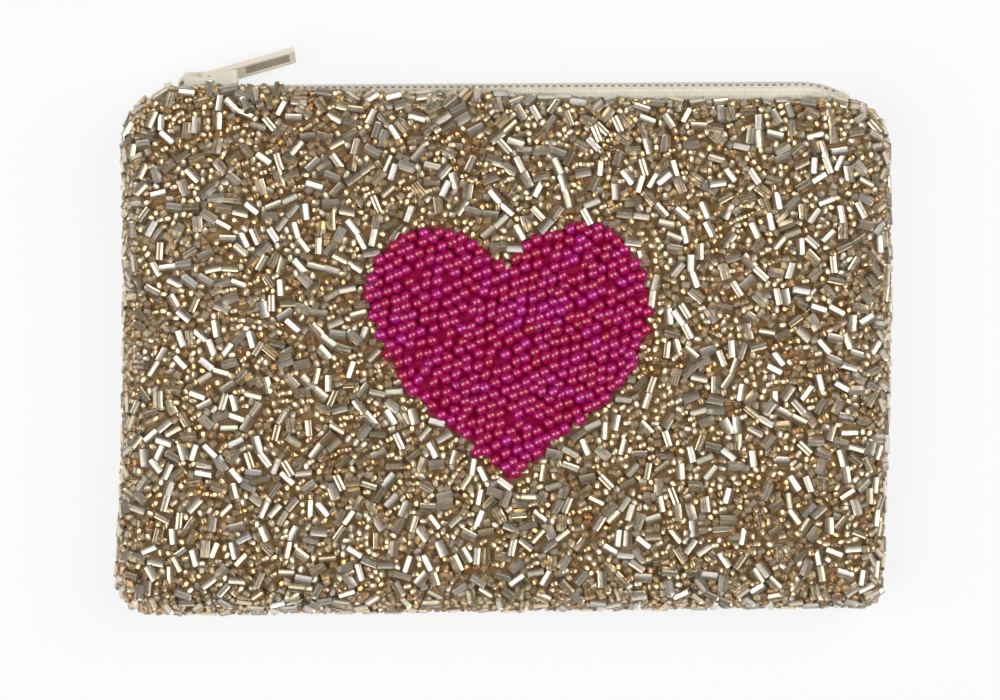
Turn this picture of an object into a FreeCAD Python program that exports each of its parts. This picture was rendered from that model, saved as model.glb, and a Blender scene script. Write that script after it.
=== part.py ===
import FreeCAD, Part
import math
import os

# Beaded zip pouch lying on its back: X along the zip, Y towards the zip, Z up through the beaded front.
# The origin is the middle of the flat back. Lengths are millimetres, angles are degrees.

# Pouch outline, and how far each end of each edge stands out from it by hand work
pouch_width = 126.0
pouch_height = 86.0
left_edge_top = -0.3
left_edge_bottom = 0.6
right_edge_top = 0.8
right_edge_bottom = -0.6
top_edge_left = -0.6
top_edge_right = -2.5
bottom_edge_left = 0.9
bottom_edge_right = -0.6
top_left_radius = 8.0
top_right_radius = 7.0
bottom_left_radius = 6.5
bottom_right_radius = 3.0
least_corner_radius = 1.0
corner_growth_share = 0.4
corner_facets = 4

# Layers of cloth and beads
bead_layer = 1.9
panel_cloth = 0.5
lining_cloth = 0.3
seam_gap = 0.3

# Bead strings that stand proud of the ground, in rows round the pouch, each turned a step further
string_length = 5.0
string_width = 1.45
string_height = 0.9
string_sink = 0.6
string_pitch = 6.9
string_row_gap = 6.2
string_edge_gap = 2.0
string_heart_gap = 0.5
string_turn = 137.5

# Pillow shape of the two halves
edge_width = 5.0
edge_steps = 4
crown_run = 16.0
crown_height = 1.4
back_hem_height = 1.6
hem_margin = 0.3
hem_clearance = 0.3
mouth_end_clearance = 0.5
mouth_depth = 16.0

# Heart of coloured beads
heart_width = 47.0
heart_height = 42.6
heart_centre_x = 1.0
heart_centre_y = -1.2
heart_notch_shares = (0.0, 0.68)
heart_right_shares = ((0.65, 1.0), (1.0, 0.51), (0.92, -0.05), (0.59, -0.46))
heart_left_shares = ((-0.5, 0.96), (-1.0, 0.45), (-0.79, -0.14), (-0.51, -0.51))
heart_tip_shares = (0.03, -1.0)
heart_arc_points = 9

# Zip path: a straight run with a bend at each end that leads into the corners
ridge_margin = 1.15
zip_rise = 0.35
zip_lean = 18.0
left_bend_margin = 11.0
left_bend_radius = 8.0
left_bend_sweep = 42.0
right_bend_margin = 14.0
right_bend_radius = 14.0
right_bend_sweep = 33.0

# Zip tape, half on each side of the chain
tape_thickness = 0.5
tape_edge = 0.35
tape_bend_radius = 0.5
tape_depth = 7.0
tape_side_clearance = 0.2

# Zip coil
coil_pitch = 1.2
coil_wire = 0.42
coil_height = 1.1
coil_lift = 0.05
coil_half_width = 1.9
coil_overlap = 0.4
coil_end_gap = 0.3
front_coil_phase_share = 0.0
back_coil_phase_share = 0.5
cord_radius = 0.1
cord_sides = 6
cord_bend_steps = 8
parting_lead = 0.7
parting_share = 0.2

# Stops that end the slider's run
stop_length = 1.3
stop_wall = 0.35
stop_gap = 0.12
stop_slider_gap = 0.6
bottom_stop_sweep = 29.0

# Slider
slider_rest_margin = 3.8
slider_half_length = 4.8
shoulder_half_width = 3.45
tail_half_width = 2.4
shoulder_radius = 1.6
tail_radius = 0.8
wing_thickness = 0.6
wing_clearance = 0.12
cheek_wall = 0.36
cheek_lift = 0.15
inner_wing_clearance = 0.2
post_start = 4.5
post_end = 3.0
post_half_width = 0.5
post_tip_half_width = 0.15
post_tape_gap = 0.1

# Bail that holds the pull
hinge_offset = 0.65
bail_half_width = 1.15
bail_wall = 0.5
bail_leg = 0.42
bail_nose = 4.2
bail_round = 0.7
ramp_gap = 0.05
ramp_seat_gap = 0.12

# Pull
pull_length = 15.4
pull_half_width = 2.4
pull_thickness = 0.9
pull_rest = 17.0
pull_bar_clearance = 0.12
pull_eye_gap = 0.3
pull_eye_end = 5.1
pull_tip_radius = 0.4
recess_start = 6.9
recess_end = 14.4
recess_border = 0.6
recess_depth = 0.25
recess_radius = 0.3

overrun = 1.0
flat_tolerance = 0.00001

# Working values that follow from the sizes above
V = FreeCAD.Vector
up = V(0, 0, 1)
along = V(1, 0, 0)
quarter_turn = math.pi / 2
lean = math.radians(zip_lean)
half_width = pouch_width / 2
half_height = pouch_height / 2
ridge_y = half_height - ridge_margin
left_bend_x = left_bend_margin - half_width
right_bend_x = half_width - right_bend_margin
slider_rest_x = left_bend_x + slider_rest_margin
parting_x = slider_rest_x + parting_lead
tape_flat = shoulder_half_width + tape_side_clearance
coil_top = coil_lift + coil_height


def leaning(outward, across):
    """Place in the zip's cross-section, which leans back by zip_lean."""
    y = outward * math.cos(lean) + across * math.sin(lean)
    z = across * math.cos(lean) - outward * math.sin(lean)
    return V(0, y, z)


def bend_centre(side):
    """Centre of the tape's fold on one side, 1 for the front and -1 for the back."""
    return leaning(-tape_thickness - tape_bend_radius, side * tape_flat)


tape_outer_radius = tape_bend_radius + tape_thickness
front_hem = bend_centre(1).z + tape_outer_radius + hem_clearance
back_hem = -bend_centre(-1).z + tape_outer_radius + hem_clearance
seam_height = back_hem_height + back_hem
front_stack = bead_layer + panel_cloth + lining_cloth
edge_height = front_hem + front_stack + hem_margin
front_height = edge_height + crown_height
front_base = seam_height + seam_gap / 2
back_base = seam_height - seam_gap / 2
zip_place = FreeCAD.Placement(V(0, ridge_y, seam_height), FreeCAD.Rotation(up, zip_rise))

left_sweep = math.radians(left_bend_sweep)
right_sweep = math.radians(right_bend_sweep)
left_outer_radius = left_bend_radius + tape_outer_radius
right_outer_radius = right_bend_radius + tape_outer_radius
mouth_left = left_bend_x - left_outer_radius * math.sin(left_sweep) - mouth_end_clearance
mouth_right = right_bend_x + right_outer_radius * math.sin(right_sweep) + mouth_end_clearance

pouch_corners = [
    V(-half_width - left_edge_bottom, -half_height - bottom_edge_left, 0),
    V(half_width + right_edge_bottom, -half_height - bottom_edge_right, 0),
    V(half_width + right_edge_top, half_height + top_edge_right, 0),
    V(-half_width - left_edge_top, half_height + top_edge_left, 0),
]
pouch_radii = [bottom_left_radius, bottom_right_radius, top_right_radius, top_left_radius]


def corner_arcs(corners, radii):
    """Centre of each corner's arc, its start seen from the centre, and its sweep in degrees."""
    arcs = []
    for i, here in enumerate(corners):
        back = (corners[i - 1] - here).normalize()
        ahead = (corners[(i + 1) % len(corners)] - here).normalize()
        half_angle = back.getAngle(ahead) / 2
        centre = here + (back + ahead).normalize() * (radii[i] / math.sin(half_angle))
        start = here + back * (radii[i] / math.tan(half_angle))
        arcs.append((centre, start - centre, math.degrees(math.pi - 2 * half_angle)))
    return arcs


def arc_point(arc, share):
    """Point at a share of the way round a corner's arc."""
    centre, start, sweep = arc
    return centre + FreeCAD.Rotation(up, sweep * share).multVec(start)


def rounded_ring(corners, radii):
    """Closed wire of straight sides and corner arcs, sharp where a radius is zero."""
    arcs = corner_arcs(corners, radii)
    edges = []
    for i, arc in enumerate(arcs):
        end = arc_point(arc, 1)
        if radii[i] > 0:
            edges.append(Part.Arc(arc_point(arc, 0), arc_point(arc, 1 / 2), end).toShape())
        edges.append(Part.makeLine(end, arc_point(arcs[(i + 1) % len(arcs)], 0)))
    return Part.Wire(edges)


def inset_corners(corners, inset, height):
    """The corners after every side has moved inwards by the same distance."""
    moved = []
    for i, here in enumerate(corners):
        side_in = (here - corners[i - 1]).normalize()
        side_out = (corners[(i + 1) % len(corners)] - here).normalize()
        first = V(-side_in.y, side_in.x, 0)
        second = V(-side_out.y, side_out.x, 0)
        step = (first + second) * (inset / (1 + first.dot(second)))
        moved.append(here + step + up * height)
    return moved


def pouch_ring(depth, run, height):
    """Points of the pouch outline, depth below the bead surface and run further in, at one height."""
    grown = min(run, edge_width) * corner_growth_share
    radii = [max(radius - depth, least_corner_radius) + grown for radius in pouch_radii]
    arcs = corner_arcs(inset_corners(pouch_corners, depth + run, height), radii)
    return [arc_point(arc, step / corner_facets) for arc in arcs for step in range(corner_facets + 1)]


def flat_faces(corners):
    """One flat face, or two triangles where the four corners don't lie in a plane."""
    first, second, third, fourth = corners
    normal = (second - first).cross(third - first).normalize()
    if abs((fourth - first).dot(normal)) < flat_tolerance:
        loops = [[first, second, third, fourth]]
    else:
        loops = [[first, second, third], [first, third, fourth]]
    return [Part.Face(Part.makePolygon(loop + loop[:1])) for loop in loops]


def solid_through(sections):
    """Solid with flat sides through sections of as many points each, with a cap at each end."""
    faces = []
    for cap in (sections[0], sections[-1]):
        faces.append(Part.Face(Part.makePolygon(cap + cap[:1])))
    for here, ahead in zip(sections, sections[1:]):
        for i, start in enumerate(here):
            faces += flat_faces([here[i - 1], start, ahead[i], ahead[i - 1]])
    shell = Part.makeShell(faces)
    shell.sewShape()
    solid = Part.makeSolid(Part.Shell(shell.Faces))
    if solid.Volume < 0:
        solid.reverse()
    return solid


def front_dome(depth):
    """Pillow-shaped solid of the front, depth below the bead surface."""
    rings = []
    for step in range(edge_steps + 1):
        turn = quarter_turn * step / edge_steps
        run = edge_width * (1 - math.cos(turn))
        rings.append(pouch_ring(depth, run, front_base + (edge_height - depth) * math.sin(turn)))
    rings.append(pouch_ring(depth, edge_width + crown_run, front_base + front_height - depth))
    return solid_through(rings)


def back_tray(depth):
    """Flat-bottomed solid of the back, depth inside its outer face."""
    rings = []
    for step in range(edge_steps + 1):
        turn = quarter_turn * step / edge_steps
        run = edge_width * (1 - math.cos(turn))
        rings.append(pouch_ring(bead_layer + depth, run, back_base - (back_base - depth) * math.sin(turn)))
    return solid_through(rings)


def mouth_block(low, high):
    """Block over the mouth between two heights, for opening the layers along the zip."""
    corner = V(mouth_left, ridge_y - mouth_depth, low)
    return Part.makeBox(mouth_right - mouth_left, 2 * mouth_depth, high - low, corner)


def front_layer(outer, inner):
    """One layer of the front, open along the zip."""
    shell = front_dome(outer).cut(front_dome(inner))
    return shell.cut(mouth_block(front_base - overrun, seam_height + front_hem))


def back_layer(outer, inner):
    """One layer of the back, open along the zip."""
    shell = back_tray(outer).cut(back_tray(inner))
    return shell.cut(mouth_block(seam_height - back_hem, back_base + overrun))


def heart_point(shares):
    """Place on the heart's outline from shares of its half width and half height."""
    x = heart_centre_x + shares[0] * heart_width / 2
    y = heart_centre_y + shares[1] * heart_height / 2
    return V(x, y, front_base)


def heart_side(shares):
    """Points of one side of the heart: the lobe's arc, then the flank's, from the notch down."""
    lobe, extreme, flank, shoulder = [heart_point(pair) for pair in shares]
    upper = Part.Arc(heart_point(heart_notch_shares), lobe, extreme).toShape()
    lower = Part.Arc(extreme, flank, shoulder).toShape()
    return upper.discretize(heart_arc_points)[:-1] + lower.discretize(heart_arc_points)


def heart_prism():
    """Upright prism of the heart, from the seam to above the beads."""
    right = heart_side(heart_right_shares)
    left = heart_side(heart_left_shares)[1:]
    outline = right + [heart_point(heart_tip_shares)] + left[::-1]
    face = Part.Face(Part.makePolygon(outline + outline[:1]))
    return face.extrude(up * (front_height + overrun))


def bead_string(centre, direction, normal):
    """One string of beads: a ridge that lies along direction, with its foot sunk in the ground."""
    foot_half = string_width / 2 * (string_height + string_sink) / string_height
    side = normal.cross(direction) * foot_half
    foot = centre - normal * string_sink
    corners = [foot + side, centre + normal * string_height, foot - side]
    reach = direction * (string_length / 2)
    return solid_through([[corner - reach for corner in corners], [corner + reach for corner in corners]])


def top_strings(heart):
    """Strings on top of the front, in rings from the edge inwards, clear of the heart."""
    strings = []
    clear = string_length / 2 + string_heart_gap
    run = edge_width + string_edge_gap
    while run < half_height - string_length:
        height = front_base + edge_height + crown_height * min((run - edge_width) / crown_run, 1)
        ring = pouch_ring(0, run, height)
        line = Part.makePolygon(ring + ring[:1])
        for centre in line.discretize(Number=round(line.Length / string_pitch))[:-1]:
            direction = FreeCAD.Rotation(up, string_turn * len(strings)).multVec(along)
            inside = heart.isInside(centre, flat_tolerance, True)
            if not inside and heart.distToShape(Part.Vertex(centre))[0] > clear:
                strings.append(bead_string(centre, direction, up))
        run += string_row_gap
    return strings


def edge_strings():
    """Strings along the turned edges of the front, on the straight of each side but the zip's."""
    half_turn = quarter_turn / 2
    height = front_base + edge_height * math.sin(half_turn)
    ring = pouch_ring(0, edge_width * (1 - math.cos(half_turn)), height)
    per_corner = corner_facets + 1
    strings = []
    for side in (0, 1, 3):
        start = ring[per_corner * (side + 1) - 1]
        end = ring[per_corner * (side + 1) % len(ring)]
        direction = (end - start).normalize()
        normal = (direction.cross(up) * edge_height + up * edge_width).normalize()
        count = int((end - start).Length / string_pitch)
        for step in range(count):
            centre = start + (end - start) * ((step + 1 / 2) / count)
            strings.append(bead_string(centre, direction, normal))
    return strings


def sweep_along_zip(face):
    """Solid of a cross-section that follows the straight run and both end bends."""
    start = face.copy()
    start.translate(along * left_bend_x)
    straight = start.extrude(along * (right_bend_x - left_bend_x))
    end = face.copy()
    end.translate(along * right_bend_x)
    left = start.revolve(V(left_bend_x, -left_bend_radius, 0), up, left_bend_sweep)
    right = end.revolve(V(right_bend_x, -right_bend_radius, 0), up, -right_bend_sweep)
    return straight.fuse([left, right]).removeSplitter()


def fold_arc(centre, start, side):
    """Arc of the tape's fold from the flat part to the web that runs under the panel."""
    radius = (start - centre).Length
    finish = centre + up * (side * radius)
    middle = centre + ((start - centre) + (finish - centre)).normalize() * radius
    return Part.Arc(start, middle, finish).toShape(), finish


def tape_face(side):
    """Cross-section of one tape: flat beside the chain, folded, then flat under the panel."""
    edge_inner = leaning(-tape_thickness, side * tape_edge)
    edge_outer = leaning(0, side * tape_edge)
    flat_inner = leaning(-tape_thickness, side * tape_flat)
    flat_outer = leaning(0, side * tape_flat)
    inner_arc, inner_end = fold_arc(bend_centre(side), flat_inner, side)
    outer_arc, outer_end = fold_arc(bend_centre(side), flat_outer, side)
    inner_hem = V(0, -tape_depth, inner_end.z)
    outer_hem = V(0, -tape_depth, outer_end.z)
    outline = [
        Part.makeLine(edge_inner, flat_inner),
        inner_arc,
        Part.makeLine(inner_end, inner_hem),
        Part.makeLine(inner_hem, outer_hem),
        Part.makeLine(outer_hem, outer_end),
        outer_arc,
        Part.makeLine(flat_outer, edge_outer),
        Part.makeLine(edge_outer, edge_inner),
    ]
    return Part.Face(Part.Wire(Part.__sortEdges__(outline)))


def parting(place):
    """How far the coil and tape edge stand off the middle where the slider parts them."""
    return max(0, parting_x - place) * parting_share


def parting_wedge():
    """Wedge that trims both tape edges where the slider parts them."""
    far = mouth_left - overrun
    near_half = tape_edge
    far_half = tape_edge + parting(far)
    depth = tape_depth + overrun
    corners = [
        V(parting_x, -depth, -near_half),
        V(parting_x, -depth, near_half),
        V(far, -depth, far_half),
        V(far, -depth, -far_half),
        V(parting_x, -depth, -near_half),
    ]
    return Part.Face(Part.makePolygon(corners)).extrude(V(0, depth + tape_depth, 0))


def zip_tape(side):
    """One half of the zip's tape."""
    tape = sweep_along_zip(tape_face(side)).cut(parting_wedge())
    tape.Placement = zip_place
    return tape


def zip_frame(place):
    """Point, direction and outward normal on the zip's path at one distance along it."""
    if place < left_bend_x:
        turn = (left_bend_x - place) / left_bend_radius
        normal = V(-math.sin(turn), math.cos(turn), 0)
        point = V(left_bend_x, -left_bend_radius, 0) + normal * left_bend_radius
    elif place > right_bend_x:
        turn = (place - right_bend_x) / right_bend_radius
        normal = V(math.sin(turn), math.cos(turn), 0)
        point = V(right_bend_x, -right_bend_radius, 0) + normal * right_bend_radius
    else:
        normal = V(0, 1, 0)
        point = V(place, 0, 0)
    return point, V(normal.y, -normal.x, 0), normal


def zip_point(place, ahead, outward, across):
    """Place on the zip from its path, leaning with the cross-section."""
    point, direction, normal = zip_frame(place)
    section = leaning(outward, across)
    return point + direction * ahead + normal * section.y + up * section.z


def coil_section(place, outward, across, outward_step, across_step):
    """Corners of the mitred square section of the coil's wire at one corner of a turn."""
    half = coil_wire / 2
    outer = (outward + outward_step * half, across + across_step * half)
    inner = (outward - outward_step * half, across - across_step * half)
    return [
        zip_point(place, -half, *outer),
        zip_point(place, half, *outer),
        zip_point(place, half, *inner),
        zip_point(place, -half, *inner),
    ]


slider_nose_x = slider_rest_x - slider_half_length
coil_start = slider_nose_x + coil_end_gap
bottom_stop_place = right_bend_x + right_bend_radius * math.radians(bottom_stop_sweep)
coil_end = bottom_stop_place - stop_length / 2 - coil_end_gap


def zip_coil(side, phase_share):
    """Flat-wound coil of one tape: each turn has a head in the middle and steps on at its back."""
    low = coil_lift + coil_wire / 2
    high = coil_top - coil_wire / 2
    head = -coil_overlap + coil_wire / 2
    heel = coil_half_width - coil_wire / 2
    turns = [(high, heel, 1, 1), (high, head, 1, -1), (low, head, -1, -1), (low, heel, -1, 1)]
    first = coil_start + coil_pitch * phase_share
    count = int((coil_end - first) / coil_pitch)
    sections = []
    for turn in range(count):
        place = first + turn * coil_pitch
        for outward, across, outward_step, across_step in turns:
            shifted = side * (across + parting(place))
            sections.append(coil_section(place, outward, shifted, outward_step, side * across_step))
    coil = solid_through(sections)
    coil.Placement = zip_place
    return coil


def coil_cord(side):
    """Core cord inside one coil, from the parting to the end of the chain."""
    outward = coil_lift + coil_height / 2
    across = side * (coil_half_width - coil_overlap) / 2
    bend = coil_end - right_bend_x
    places = [parting_x] + [right_bend_x + bend * step / cord_bend_steps for step in range(cord_bend_steps + 1)]
    sections = []
    for place in places:
        section = []
        for corner in range(cord_sides):
            turn = 2 * math.pi * corner / cord_sides
            reach_out = cord_radius * math.cos(turn)
            reach_across = cord_radius * math.sin(turn)
            section.append(zip_point(place, 0, outward + reach_out, across + reach_across))
        sections.append(section)
    cord = solid_through(sections)
    cord.Placement = zip_place
    return cord


def leaned(shape):
    """Turn a shape from upright zip axes to the zip's lean."""
    return shape.rotated(V(0, 0, 0), along, -zip_lean)


def onto_zip(shape, place):
    """Carry an upright shape at the zip's middle to a place on its path."""
    point, direction, normal = zip_frame(place)
    moved = leaned(shape)
    moved = moved.rotated(V(0, 0, 0), up, math.degrees(math.atan2(direction.y, direction.x)))
    moved.translate(point)
    moved.Placement = zip_place * moved.Placement
    return moved


def zip_box(length, outward_low, outward_high, across_low, across_high):
    """Box in upright zip axes, centred along the zip."""
    corner = V(-length / 2, outward_low, across_low)
    return Part.makeBox(length, outward_high - outward_low, across_high - across_low, corner)


def tape_slot(side, inner):
    """Slot for one tape in a stop, open away from the middle."""
    far = coil_half_width + inner + overrun
    low, high = sorted((side * inner, side * far))
    length = stop_length + overrun
    return zip_box(length, -tape_thickness - stop_gap, stop_gap, low, high)


top_stop_place = slider_nose_x - stop_slider_gap - stop_length / 2


def top_stop(side):
    """Crimp on one tape edge that the slider's nose meets when the pouch is closed."""
    inner = tape_edge + parting(top_stop_place + stop_length / 2) - stop_gap
    low, high = sorted((side * (inner - stop_wall), side * (inner + coil_half_width)))
    below = -tape_thickness - stop_gap - stop_wall
    clip = zip_box(stop_length, below, coil_top, low, high).cut(tape_slot(side, inner))
    return onto_zip(clip, top_stop_place)


def bottom_stop():
    """Crimp over both tape edges at the far end of the chain."""
    inner = tape_edge - stop_gap
    below = -tape_thickness - stop_gap - stop_wall
    clip = zip_box(stop_length, below, coil_top, -coil_half_width, coil_half_width)
    clip = clip.cut([tape_slot(1, inner), tape_slot(-1, inner)])
    return onto_zip(clip, bottom_stop_place)


# Heights across the slider, outwards from the tape's outer face
outer_wing_low = coil_top + wing_clearance
outer_wing_high = outer_wing_low + wing_thickness
inner_wing_high = -tape_thickness - inner_wing_clearance
inner_wing_low = inner_wing_high - wing_thickness
pull_bar_radius = pull_thickness / 2
hinge_outward = outer_wing_high + pull_bar_clearance + pull_bar_radius
bail_hole_radius = pull_bar_radius + pull_bar_clearance
ramp_start = -hinge_offset + bail_hole_radius + bail_leg + ramp_gap
pull_turn = math.radians(pull_rest)


def plate(outline, low, high):
    """Solid of an outline in the zip's plane between two outward heights."""
    face = Part.Face(outline)
    face.translate(up * -high)
    return face.extrude(up * (high - low)).rotated(V(0, 0, 0), along, math.degrees(quarter_turn))


def slider_corners():
    """Corners of the slider's wings, wide at the nose and narrow at the tail."""
    return [
        V(-slider_half_length, -shoulder_half_width, 0),
        V(slider_half_length, -tail_half_width, 0),
        V(slider_half_length, tail_half_width, 0),
        V(-slider_half_length, shoulder_half_width, 0),
    ]


def wing_outline(inset):
    """Outline of the slider's wings, moved inwards by inset."""
    radii = [shoulder_radius, tail_radius, tail_radius, shoulder_radius]
    radii = [radius - inset for radius in radii]
    return rounded_ring(inset_corners(slider_corners(), inset, 0), radii)


def slider_cheeks():
    """Side walls that hold the coils under the outer wing, open at both ends."""
    walls = plate(wing_outline(0), cheek_lift, outer_wing_low + wing_thickness / 2)
    walls = walls.cut(plate(wing_outline(cheek_wall), cheek_lift, outer_wing_low))
    nose_half = shoulder_half_width - cheek_wall
    tail_half = tail_half_width - cheek_wall
    reach = slider_half_length + overrun
    rise = outer_wing_low - cheek_lift
    nose_open = Part.makeBox(reach, rise, 2 * nose_half, V(-reach, cheek_lift, -nose_half))
    nose_open = nose_open.common(plate(nose_mouth(nose_half), cheek_lift, outer_wing_low))
    tail_open = Part.makeBox(reach, rise, 2 * tail_half, V(0, cheek_lift, -tail_half))
    return walls.cut([nose_open, tail_open])


def nose_mouth(half):
    """Opening at the nose where the two parted coils come in."""
    start = -slider_half_length - overrun
    end = -slider_half_length + shoulder_radius
    corners = [V(start, -half, 0), V(end, -half, 0), V(end, half, 0), V(start, half, 0)]
    return Part.makePolygon(corners + corners[:1])


def post_outline(start_half):
    """Outline of the parting post, which tapers to its tip."""
    corners = [
        V(-post_start, -start_half, 0),
        V(-post_end, -post_tip_half_width, 0),
        V(-post_end, post_tip_half_width, 0),
        V(-post_start, start_half, 0),
    ]
    return Part.makePolygon(corners + corners[:1])


def slider_post():
    """Wedge that parts the two coils, on a slim stem that passes between the tapes."""
    wedge = plate(post_outline(post_half_width), coil_lift, outer_wing_high)
    stem = plate(post_outline(tape_edge - post_tape_gap), inner_wing_low, coil_top)
    return wedge.fuse(stem)


def pull_underside(x):
    """Outward height of the resting pull's lower face, less the gap to its seat."""
    rise = (x + hinge_offset) * math.tan(pull_turn)
    return hinge_outward + rise - pull_bar_radius / math.cos(pull_turn) - ramp_seat_gap


def slider_ramp():
    """Raised tail that the pull lies on, as wide as the wing."""
    end = slider_half_length
    corners = [
        V(ramp_start, outer_wing_low, -shoulder_half_width),
        V(end, outer_wing_low, -shoulder_half_width),
        V(end, pull_underside(end), -shoulder_half_width),
        V(ramp_start, pull_underside(ramp_start), -shoulder_half_width),
    ]
    block = Part.Face(Part.makePolygon(corners + corners[:1])).extrude(up * (2 * shoulder_half_width))
    return block.common(plate(wing_outline(0), outer_wing_low, pull_underside(end) + overrun))


def slider_body():
    """Slider casting: two wings, side walls, parting post and raised tail."""
    outer = plate(wing_outline(0), outer_wing_low, outer_wing_high)
    inner = plate(wing_outline(0), inner_wing_low, inner_wing_high)
    body = outer.fuse([inner, slider_cheeks(), slider_post(), slider_ramp()]).removeSplitter()
    return onto_slider(body)


def slider_bail():
    """Bail over the nose: an arch on the wing, whose round top the pull's bar turns in."""
    end = -hinge_offset + bail_hole_radius + bail_leg
    top = hinge_outward + bail_hole_radius + bail_wall
    corners = [
        V(-bail_nose, outer_wing_high, -bail_half_width),
        V(end, outer_wing_high, -bail_half_width),
        V(end, top, -bail_half_width),
        V(-bail_nose, top, -bail_half_width),
    ]
    radii = [0, 0, bail_round, bail_round]
    block = Part.Face(rounded_ring(corners, radii)).extrude(up * (2 * bail_half_width))
    hole_start = V(-hinge_offset, hinge_outward, -bail_half_width)
    hole = Part.makeCylinder(bail_hole_radius, 2 * bail_half_width, hole_start, up)
    drop = bail_hole_radius + overrun
    way_corner = hole_start - V(bail_hole_radius, drop, 0)
    way = Part.makeBox(2 * bail_hole_radius, drop, 2 * bail_half_width, way_corner)
    return onto_slider(block.cut([hole, way]))


def onto_slider(shape):
    """Carry a shape from the slider's own axes to the closed end of the zip."""
    return onto_zip(shape, slider_rest_x)


def pull_plate_outline(start, end, half, radius):
    """Rounded rectangle in the pull's plane."""
    corners = [V(start, -half, 0), V(end, -half, 0), V(end, half, 0), V(start, half, 0)]
    return rounded_ring(corners, [radius] * len(corners))


def pull_tab():
    """Pull with a round bar in the bail, an eye round it and a bare recess on its underside."""
    half = pull_bar_radius
    eye_half = bail_half_width + pull_eye_gap
    outline = pull_plate_outline(-pull_length, pull_length, pull_half_width, pull_tip_radius)
    tab = plate(outline, -half, half)
    back = zip_box(2 * pull_length, -pull_length, pull_length, -pull_length, pull_length)
    back.translate(V(-pull_length, 0, 0))
    tab = tab.cut(back)
    knuckles = Part.makeCylinder(half, 2 * pull_half_width, V(0, 0, -pull_half_width), up)
    eye_outline = pull_plate_outline(-pull_eye_end, pull_eye_end, eye_half, recess_radius)
    tab = tab.cut(plate(eye_outline, -half, half)).fuse(knuckles)
    recess_half = pull_half_width - recess_border
    recess = pull_plate_outline(recess_start, recess_end, recess_half, recess_radius)
    tab = tab.cut(plate(recess, -half, -half + recess_depth)).removeSplitter()
    tab = tab.rotated(V(0, 0, 0), up, pull_rest)
    tab.translate(V(-hinge_offset, hinge_outward, 0))
    return onto_slider(tab)


panel_depth = bead_layer + panel_cloth
bead_field = front_layer(0, bead_layer)
heart = heart_prism()
strings = top_strings(heart) + edge_strings()
parts = {
    "gold_bead_field": bead_field.cut(heart).fuse(strings),
    "heart_bead_field": bead_field.common(heart),
    "front_panel": front_layer(bead_layer, panel_depth),
    "front_lining": front_layer(panel_depth, front_stack),
    "back_panel": back_layer(0, panel_cloth),
    "back_lining": back_layer(panel_cloth, panel_cloth + lining_cloth),
    "front_zip_tape": zip_tape(1),
    "back_zip_tape": zip_tape(-1),
    "front_coil": zip_coil(1, front_coil_phase_share),
    "back_coil": zip_coil(-1, back_coil_phase_share),
    "front_coil_cord": coil_cord(1),
    "back_coil_cord": coil_cord(-1),
    "front_top_stop": top_stop(1),
    "back_top_stop": top_stop(-1),
    "bottom_stop": bottom_stop(),
    "slider_body": slider_body(),
    "slider_bail": slider_bail(),
    "pull_tab": pull_tab(),
}

os.makedirs("parts", exist_ok=True)
for name, shape in parts.items():
    shape.exportStep(os.path.join("parts", name + ".step"))
    print(name, "solids", len(shape.Solids), "volume", round(shape.Volume, 2), "valid", shape.isValid())
print("seam height", round(seam_height, 2), "front height", round(front_height, 2), "strings", len(strings))
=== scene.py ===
# %% [markdown]
# A beaded zip pouch
# The pouch is a flat cloth bag. Its front is covered in short glass tubes and seed beads,
# with a heart of magenta beads in the middle, and a coil zip closes its top edge.
# The imported model is loaded first, so that every piece made here can be put where the
# solids are.

# %% Load the imported part
import math
import random

import bmesh
import bpy
from mathutils import Matrix, Vector, noise
from mathutils.bvhtree import BVHTree


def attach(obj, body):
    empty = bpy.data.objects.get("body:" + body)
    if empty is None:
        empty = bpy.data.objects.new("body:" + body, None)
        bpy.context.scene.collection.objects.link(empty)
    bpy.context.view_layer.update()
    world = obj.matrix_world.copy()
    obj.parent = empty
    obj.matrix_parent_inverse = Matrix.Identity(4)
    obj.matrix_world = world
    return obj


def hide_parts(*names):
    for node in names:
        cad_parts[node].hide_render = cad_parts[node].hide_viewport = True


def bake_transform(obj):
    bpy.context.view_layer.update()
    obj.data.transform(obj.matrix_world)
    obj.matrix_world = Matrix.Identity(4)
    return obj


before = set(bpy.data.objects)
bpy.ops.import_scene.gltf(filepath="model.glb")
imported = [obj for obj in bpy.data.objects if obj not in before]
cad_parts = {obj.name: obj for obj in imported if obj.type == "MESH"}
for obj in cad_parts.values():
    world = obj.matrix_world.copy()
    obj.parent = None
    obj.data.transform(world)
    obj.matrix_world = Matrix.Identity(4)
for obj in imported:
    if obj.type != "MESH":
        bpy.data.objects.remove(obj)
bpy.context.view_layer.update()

MM = 0.001

# %% [markdown]
# The camera
# The photograph is a flat lay, seen from straight above. At the pouch's widest, near its
# seam, a millimetre covers about six pixels, so the view is 164.5 mm wide there. A long
# lens from 0.6 m keeps the perspective weak, as a product photograph does.

# %% Camera
scene = bpy.context.scene
scene.view_settings.view_transform = "Standard"
seam_level = 8.0 * MM
view_width = 164.5 * MM
view_middle = (-0.16 * MM, -0.66 * MM)
camera_height = 0.6
camera = bpy.data.objects.new("camera", bpy.data.cameras.new("camera"))
camera.data.sensor_width = 36.0
camera.data.lens = camera.data.sensor_width * camera_height / view_width
camera.location = (*view_middle, seam_level + camera_height)
scene.collection.objects.link(camera)
scene.camera = camera
print("lens", round(camera.data.lens, 1), "mm")

# %% [markdown]
# Floor and light
# The pouch lies on white paper between two soft boxes, one to each side: every bead in
# the photograph carries a pair of small highlights. The floor is white to the eye and to
# reflections through its own material, so no lamp has to be strong enough to bleach it,
# and it keeps a faint shadow.

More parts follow.
